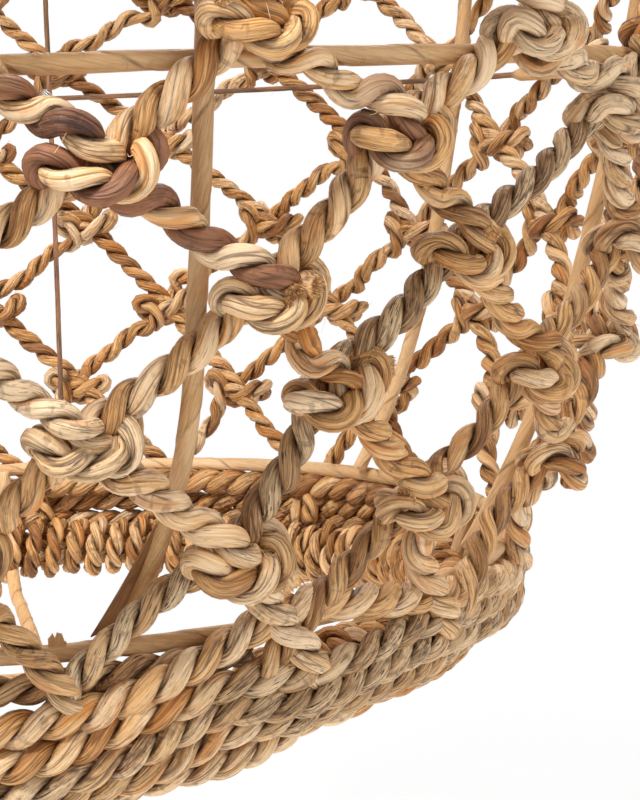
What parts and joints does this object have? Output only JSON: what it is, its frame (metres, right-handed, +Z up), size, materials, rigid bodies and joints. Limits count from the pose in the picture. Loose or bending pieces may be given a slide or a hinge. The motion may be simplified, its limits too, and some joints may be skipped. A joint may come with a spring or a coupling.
{
  "type": "hanging egg chair",
  "caption": "Hanging egg chair: knotted rope net on a frame of leaf-wrapped rods, open at the front, hung by a swivel and snap hook.",
  "frame": {"origin": "the inside top of the snap hook, where the chair bears on the eye that holds it", "axes": "+Z up, -Y out of the front opening, +X to the sitter's left"},
  "size_m": [0.7956, 0.7704, 1.343],
  "materials": {
    "leaf_wrap": "matte",
    "rope": "matte",
    "steel": "satin"
  },
  "bodies": {
    "hook": {"snap_hook": "steel", "gate_pin": "steel", "swivel_washer": "steel"},
    "gate": {"snap_gate": "steel"},
    "swivel": {"swivel_stud": "steel"},
    "shackle": {"shackle": "steel", "shackle_pin": "steel", "shackle_nut": "steel"},
    "basket": {"base_band": "rope", "base_ring": "leaf_wrap", "crown_cap": "rope", "crown_eye_bolt": "steel", "crown_nut": "steel", "crown_plate": "steel", "crown_ring": "leaf_wrap", "crown_washer": "steel", "lower_hoop": "leaf_wrap", "middle_hoop": "leaf_wrap", "net_lower_back": "rope", "net_lower_back_left": "rope", "net_lower_back_right": "rope", "net_lower_front": "rope", "net_lower_front_left": "rope", "net_lower_front_right": "rope", "net_lower_side_left": "rope", "net_lower_side_right": "rope", "net_middle_back": "rope", "net_middle_back_left": "rope", "net_middle_back_right": "rope", "net_middle_side_left": "rope", "net_middle_side_right": "rope", "net_upper_back": "rope", "net_upper_back_left": "rope", "net_upper_back_right": "rope", "net_upper_front": "rope", "net_upper_front_left": "rope", "net_upper_front_right": "rope", "net_upper_side_left": "rope", "net_upper_side_right": "rope", "rim_rod": "leaf_wrap", "rim_rope": "rope", "seat_rod_across": "leaf_wrap", "seat_rod_lengthwise": "leaf_wrap", "shoulder_hoop": "leaf_wrap", "upper_hoop": "leaf_wrap", "upright_back_left": "leaf_wrap", "upright_back_right": "leaf_wrap", "upright_front_left": "leaf_wrap", "upright_front_right": "leaf_wrap", "upright_side_left": "leaf_wrap", "upright_side_right": "leaf_wrap"}
  },
  "joints": [
    {"name": "gate_hinge", "type": "hinge", "parent": "hook", "child": "gate", "pos_m": [0.018, 0, -0.048], "axis": [0, -1, 0], "range_deg": [0, 28], "stiffness_Nm_per_rad": 0.1, "springref_deg": -17.19},
    {"name": "swivel_turn", "type": "hinge", "parent": "hook", "child": "swivel", "pos_m": [0, 0, -0.07], "axis": [0, 0, 1], "continuous": true},
    {"name": "shackle_swing", "type": "hinge", "parent": "swivel", "child": "shackle", "pos_m": [0, 0, -0.109], "axis": [0, 1, 0], "range_deg": [-30, 30]},
    {"name": "basket_swing", "type": "hinge", "parent": "shackle", "child": "basket", "pos_m": [0, 0, -0.14], "axis": [1, 0, 0], "range_deg": [-40, 40]}
  ]
}
